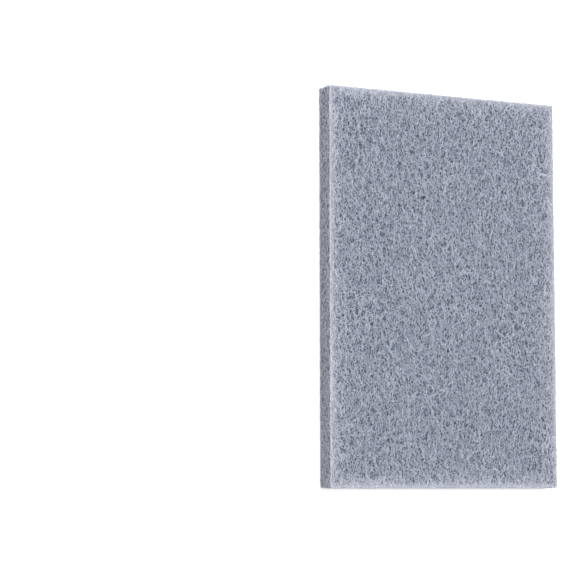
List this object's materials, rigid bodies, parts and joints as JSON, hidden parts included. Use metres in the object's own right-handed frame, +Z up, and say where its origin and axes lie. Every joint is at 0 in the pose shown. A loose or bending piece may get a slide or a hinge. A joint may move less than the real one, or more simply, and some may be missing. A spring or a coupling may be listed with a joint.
{
  "type": "scouring pad",
  "caption": "Rectangular nonwoven scouring pad: a flat springy block of bonded curly fibre with straight die-cut edges, for rubbing and cleaning by hand.",
  "frame": {"origin": "centre of the underside, on the surface that the pad lies on", "axes": "+X along the width, +Y along the length, +Z up through the thickness"},
  "size_m": [0.1, 0.15, 0.0085],
  "materials": {
    "nonwoven_nylon": "matte, fibrous, blue grey"
  },
  "bodies": {
    "root": {"pad": "nonwoven_nylon"}
  },
  "joints": []
}
